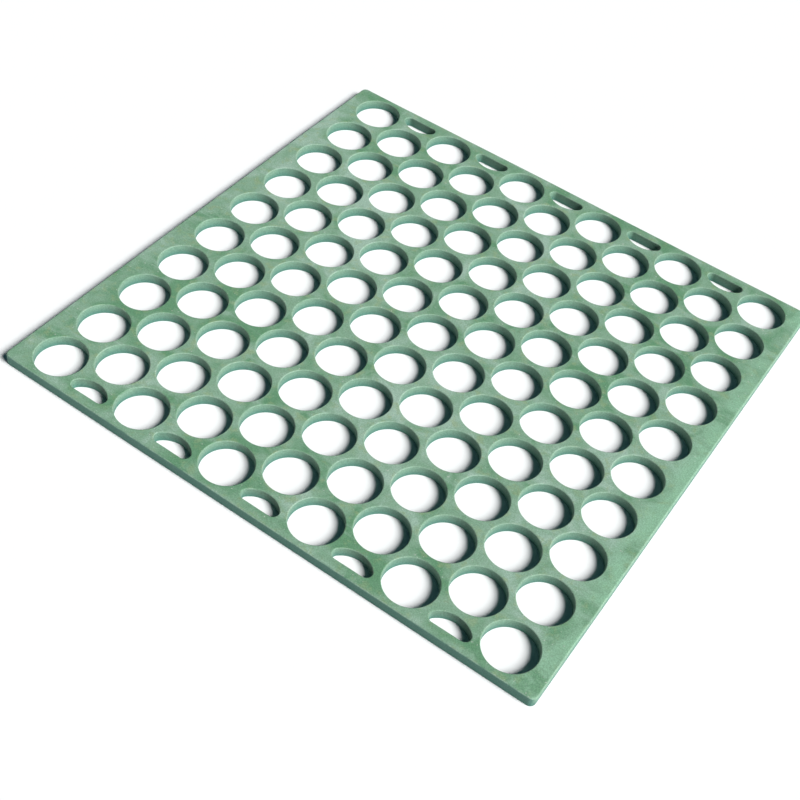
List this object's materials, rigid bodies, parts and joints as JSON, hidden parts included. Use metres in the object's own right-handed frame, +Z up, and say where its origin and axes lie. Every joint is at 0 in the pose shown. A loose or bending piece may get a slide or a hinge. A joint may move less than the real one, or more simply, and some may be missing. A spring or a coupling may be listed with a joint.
{
  "type": "rubber grass mat",
  "caption": "Square moulded rubber mat with a staggered field of round holes, laid flat on the ground so that grass grows up through it.",
  "frame": {"origin": "middle of the underside, at the centre of the square", "axes": "+Z up out of the top face; +Y along the hole columns; +X across them"},
  "size_m": [0.5, 0.5, 0.01],
  "materials": {
    "rubber": "matt moulded green rubber, a little dusty on top"
  },
  "bodies": {
    "root": {"grass_mat": "rubber"}
  },
  "joints": []
}
